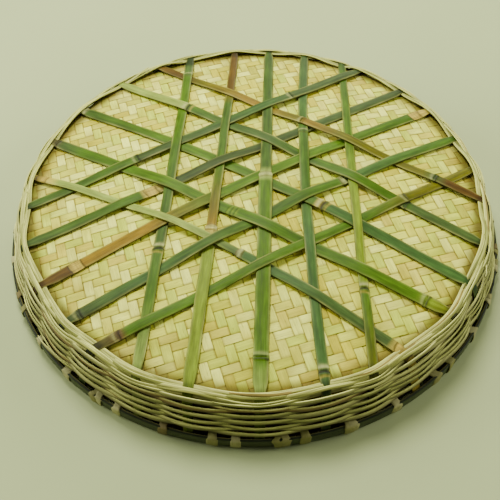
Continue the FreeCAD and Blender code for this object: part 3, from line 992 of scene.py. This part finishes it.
def make_weavers(slats, rng):
    """Each row is woven from several strips whose ends lie over each other."""
    for row in range(WEAVER_ROWS):
        radius = float(wall_point(FIRST_ROW + row * WEAVER_PITCH)[0])
        stakes = stake_angles(slats, radius)
        strips = Strips()
        for shift in SHOULDER_SHIFTS.get(row, (0.0,)):
            count = int(rng.integers(3, 6))
            start = rng.uniform(0, 360)
            for _ in range(count):
                length = 360.0 / count + rng.uniform(-12, 12)
                weaver_strip(strips, rng, row, stakes, start, length + WEAVER_LAP, shift)
                start += length
        name = "wall_weaver_%02d" % (row + 1)
        strips.piece(name + "_bamboo", WEAVER_STRIP, "pale_bamboo", name)


# ---- the rim

HOOP_SECTION = rounded_section(18, 0.34)
HOOP_STEP = 0.5  # degrees between a hoop's sections
HOOP_LAP = 22.0  # degrees of the scarfed joint
SCARF_END = 0.35  # thickness of the hoop's ends in the joint
HOOP_CROWN = 0.30
HOOP_NODES = 6
NODE_SPACING = 57.0  # degrees between a hoop's culm nodes
FIRST_NODE = 40.0  # degrees from the joint
HOOP_DEGREE = 3.6  # millimetres along a hoop in one degree


def hoop_tints(rng, turn, places, tints, bark):
    """Dark bands at the culm nodes; where the hoop has bark, painted shade on its edges and its bare
    inside.
    """
    x, y = HOOP_SECTION.T
    tint = blend(tints[0], tints[1], 0.5 + 0.5 * wander(rng, turn, 26.0))
    for place in places:
        distance = (turn - place) * HOOP_DEGREE
        tint = blend(tint, tints[-1] * 0.5, 0.8 * bump(distance, 0.8))
        tint = blend(tint, PALETTE["grey"], 0.35 * bump(distance - 3.5, 1.6))
    # Painted shade on the bark hoop's top and bottom edges and on its bare inside.
    tint = blend(tint, tints[-1] * 0.8, smooth((abs(x) - 0.86) / 0.1) * bark)
    return blend(tint, PALETTE["flesh"] * 0.3, smooth((-y - 0.2) / 0.5) * bark)


def hoop_piece(name, node, rng, radius, thickness, tints, material, slot, joint, bark):
    """A flat hoop with a scarfed joint, its bark outside and a culm node now and then."""
    turn = np.arange(joint - HOOP_LAP / 2, joint + 360 + HOOP_LAP / 2, HOOP_STEP)[:, None]
    to_start, to_end = turn - turn[0], turn[-1] - turn
    x, y = HOOP_SECTION.T
    height = (HOOP_TOP - HOOP_BOTTOM) / 2
    middle = (HOOP_TOP + HOOP_BOTTOM) / 2 + 0.18 * wander(rng, turn, 30.0)
    scarf = thickness - SCARF_END
    inner = radius + scarf * (1 - smooth(to_end / HOOP_LAP))
    outer = radius + thickness - scarf * (1 - smooth(to_start / HOOP_LAP))
    places = joint + FIRST_NODE + NODE_SPACING * np.arange(HOOP_NODES) + rng.uniform(-6, 6, HOOP_NODES)
    swelling = sum(bumps((turn - place) * HOOP_DEGREE, ((1.0, -1.2, 1.1), (0.8, 1.4, 1.0)))
                   for place in places)
    half = height * (1 + 0.02 * wander(rng, turn, 12.0)) + 0.15 * swelling
    outward = (1 + y) / 2
    r = inner * (1 - outward) + (outer - HOOP_CROWN) * outward
    r = r + HOOP_CROWN * (1 - x ** 2) * outward + 0.28 * swelling * outward
    strips = Strips()
    strips.sweep(ring(np.radians(turn), r, middle - half * x),
                 hoop_tints(rng, turn, places, tints, bark),
                 turn * math.radians(1) * radius, x * height, skin=bark * smooth(y / 0.5))
    strips.piece(name, material, slot, node)


def make_hoops(rng):
    """The outer hoop has its bark on, and the inner one is split clean."""
    hoop_piece("outer_hoop_bamboo", "rim_outer_hoop", rng, OUTER_HOOP_RADIUS, OUTER_HOOP_THICKNESS,
               HOOP_BARK, HOOP_STRIP, "hoop_bamboo", joint=128.0, bark=1.0)
    hoop_piece("inner_hoop_bamboo", "rim_inner_hoop", rng, INNER_HOOP_RADIUS, INNER_HOOP_THICKNESS,
               INNER_HOOP_TINTS, WEAVER_STRIP, "pale_bamboo", joint=20.0, bark=0.0)


def lashing_angles(slats):
    """One lashing turn between neighbouring stakes, and two where the gap is wide."""
    stakes = stake_angles(slats, RIM_RADIUS)
    angles = []
    for i, stake in enumerate(stakes):
        gap = (stakes[(i + 1) % len(stakes)] - stake) % 360
        turns = 2 if gap > WIDE_GAP else 1
        angles += [stake + gap * (j + 1) / (turns + 1) for j in range(turns)]
    return angles


LASHING_SECTION = rounded_section(10, 0.5)
LASHING_THICKNESS = 0.62
LASHING_STATIONS = 56
LASHING_WIDTHS = (6.8, 9.2)
TO_STRIP = 0.45  # from a hoop's face to the middle of the strip round it
STRIP_BOTTOM = 0.36
STRIP_BELOW_TOP = 0.35
FLOOR_GAP = 0.02  # the strip stays this far above the floor
LASHING_FIBRE = 12.0  # distance in the fibre pattern for each radian round a turn's path
DOUBLED_SHARE = 0.35  # share of the turns that are doubled
SECOND_PROUD = 0.5  # how far the second pass stands off the first


def lashing_tints(rng, around):
    """A plain strip, with painted shade on its inside."""
    tint = pick(rng, LASHING_TINTS) * (1 + 0.06 * rng.uniform(-1, 1))
    tints = tint * (1 + 0.08 * wander_round(rng, around, 9))[..., None]
    # Painted shade on the strip's inside face.
    inside = smooth((-LASHING_SECTION[:, 1] - 0.1) / 0.6)
    return blend(tints, WEAVER_SHADE, 0.35 * inside)


def lashing_turn(strips, rng, angle, width, slant, proud):
    """One turn round both hoops: a flat strip that slants across the outside and pinches on top."""
    inner = INNER_HOOP_RADIUS - TO_STRIP
    outer = OUTER_HOOP_RADIUS + OUTER_HOOP_THICKNESS + TO_STRIP + proud
    low, high = STRIP_BOTTOM, LASHING_TOP - STRIP_BELOW_TOP
    middle_r, middle_z = (inner + outer) / 2, (low + high) / 2
    half_r, half_z = (outer - inner) / 2, (high - low) / 2
    a = np.linspace(0, 2 * math.pi, LASHING_STATIONS + 1)[:-1, None]
    around = a / (2 * math.pi)
    c, s = np.cos(a), np.sin(a)
    r = middle_r + half_r * squared(c, ROUND)
    z = middle_z + half_z * squared(s, ROUND)
    path = np.stack((r, z), -1)
    ahead = unit(np.roll(path, -1, 0) - np.roll(path, 1, 0))
    normal_r, normal_z = ahead[..., 1], -ahead[..., 0]
    outside = smooth((c + 0.3) / 0.8)
    turn = np.radians(angle) + np.radians(slant) * (1 + np.clip(s * 1.3, -1, 1)) * outside
    on_top = smooth((s - 0.55) / 0.4)
    half = width / 2 * (1 - 0.22 * on_top) * (1 + 0.06 * wander_round(rng, around, 7))
    twist = 0.16 * wander_round(rng, around, 6) * outside
    x, y = LASHING_SECTION.T
    lift = y * LASHING_THICKNESS / 2 - 0.18 * x ** 2 * outside
    side = half * x
    lift = lift + side * twist
    lift = np.where(z < 1.2, np.minimum(lift, 0.34), lift)
    r = r + normal_r * lift
    z = np.maximum(z + normal_z * lift, FLOOR_GAP)
    c, s = np.cos(turn), np.sin(turn)
    grid = np.stack((r * c - side * s, r * s + side * c, z), -1)
    strips.sweep(grid, lashing_tints(rng, around), a * LASHING_FIBRE, side, loop=True)


def make_lashing(slats, rng):
    """Every turn leans its own way, and some are doubled by a second, narrower pass."""
    strips = Strips()
    for angle in lashing_angles(slats):
        width = rng.uniform(*LASHING_WIDTHS)
        lashing_turn(strips, rng, angle, width, rng.uniform(0.0, 0.6), 0.0)
        if rng.random() < DOUBLED_SHARE:
            lashing_turn(strips, rng, angle - rng.uniform(0.0, 0.4), width * 0.8,
                         rng.uniform(-0.6, -0.2), SECOND_PROUD)
    strips.piece("lashing_bamboo", LASHING_STRIP, "lashing_bamboo", "rim_lashing")


# ---- stage, light and camera


FLOOR_HALF = 9.0
KEY_COLOUR = (0.99, 1.0, 0.83)
SIDE_COLOUR = (0.97, 1.0, 0.84)
# Each light's place, diameter in metres, power in watts and colour
LIGHTS = {
    "key": ((-0.25, 0.80, 1.45), 0.7, 39, KEY_COLOUR),
    "back": ((0.35, 1.5, 0.75), 0.8, 10, KEY_COLOUR),
    "side": ((-1.5, 0.25, 0.8), 1.0, 24, SIDE_COLOUR),
    "fill": ((1.5, 0.1, 0.8), 1.0, 17, SIDE_COLOUR),
}
LIGHT_TARGET = np.array((0, 0, 0.03))
WORLD_COLOUR = (0.94, 0.98, 0.82, 1.0)
WORLD_STRENGTH = 0.125
CAMERA_PLACE = (-0.0038, -0.4337, 0.5110)
CAMERA_PITCH = math.radians(51.517)  # how far it looks down
CAMERA_ROLL = math.radians(-0.917)
CAMERA_LENS = 54.12
CAMERA_SENSOR = 36.0


def make_floor():
    """A plain pale floor."""
    h = FLOOR_HALF
    mesh = bpy.data.meshes.new("floor")
    mesh.from_pydata([(-h, -h, 0), (h, -h, 0), (h, h, 0), (-h, h, 0)], [], [(0, 1, 2, 3)])
    mesh.materials.append(floor_material())
    add_object("floor", mesh)


def area_light(name, place, size, power, colour):
    """A round soft light that points at the basket."""
    lamp = bpy.data.lights.new(name, "AREA")
    lamp.shape = "DISK"
    lamp.size = size
    lamp.energy = power
    lamp.color = colour
    back = unit(np.array(place) - LIGHT_TARGET)
    right = unit(np.cross((0.0, 0.0, 1.0), back))
    add_object(name, lamp).matrix_world = placed(right, np.cross(back, right), back, place)


def make_lights():
    """Soft lights all round, and a dim even world."""
    for name, (place, size, power, colour) in LIGHTS.items():
        area_light(name, place, size, power, colour)
    world = bpy.data.worlds.new("studio")
    world.use_nodes = True
    inputs = world.node_tree.nodes["Background"].inputs
    inputs["Color"].default_value = WORLD_COLOUR
    inputs["Strength"].default_value = WORLD_STRENGTH
    bpy.context.scene.world = world


def make_camera():
    """Looks down on the basket from the front."""
    data = bpy.data.cameras.new("camera")
    data.sensor_width = CAMERA_SENSOR
    data.lens = CAMERA_LENS
    camera = add_object("camera", data)
    ahead = np.array((0.0, math.cos(CAMERA_PITCH), -math.sin(CAMERA_PITCH)))
    level = np.array((1.0, 0.0, 0.0))
    up = np.array((0.0, math.sin(CAMERA_PITCH), math.cos(CAMERA_PITCH)))
    c, s = math.cos(CAMERA_ROLL), math.sin(CAMERA_ROLL)
    camera.matrix_world = placed(c * level + s * up, c * up - s * level, -ahead, CAMERA_PLACE)
    bpy.context.scene.camera = camera


# ---- the scene

SLAT_SEED = 100  # the first slat's, and each next slat's is one more
MAT_SEED = 7
WEAVER_SEED = 21
HOOP_SEED = 33
LASHING_SEED = 45

seeded = np.random.default_rng
slats = make_lattice()
for number, slat in enumerate(slats):
    make_slat(slat, seeded(SLAT_SEED + number))
make_mat(seeded(MAT_SEED))
make_weavers(slats, seeded(WEAVER_SEED))
make_hoops(seeded(HOOP_SEED))
make_lashing(slats, seeded(LASHING_SEED))
make_floor()
make_lights()
make_camera()
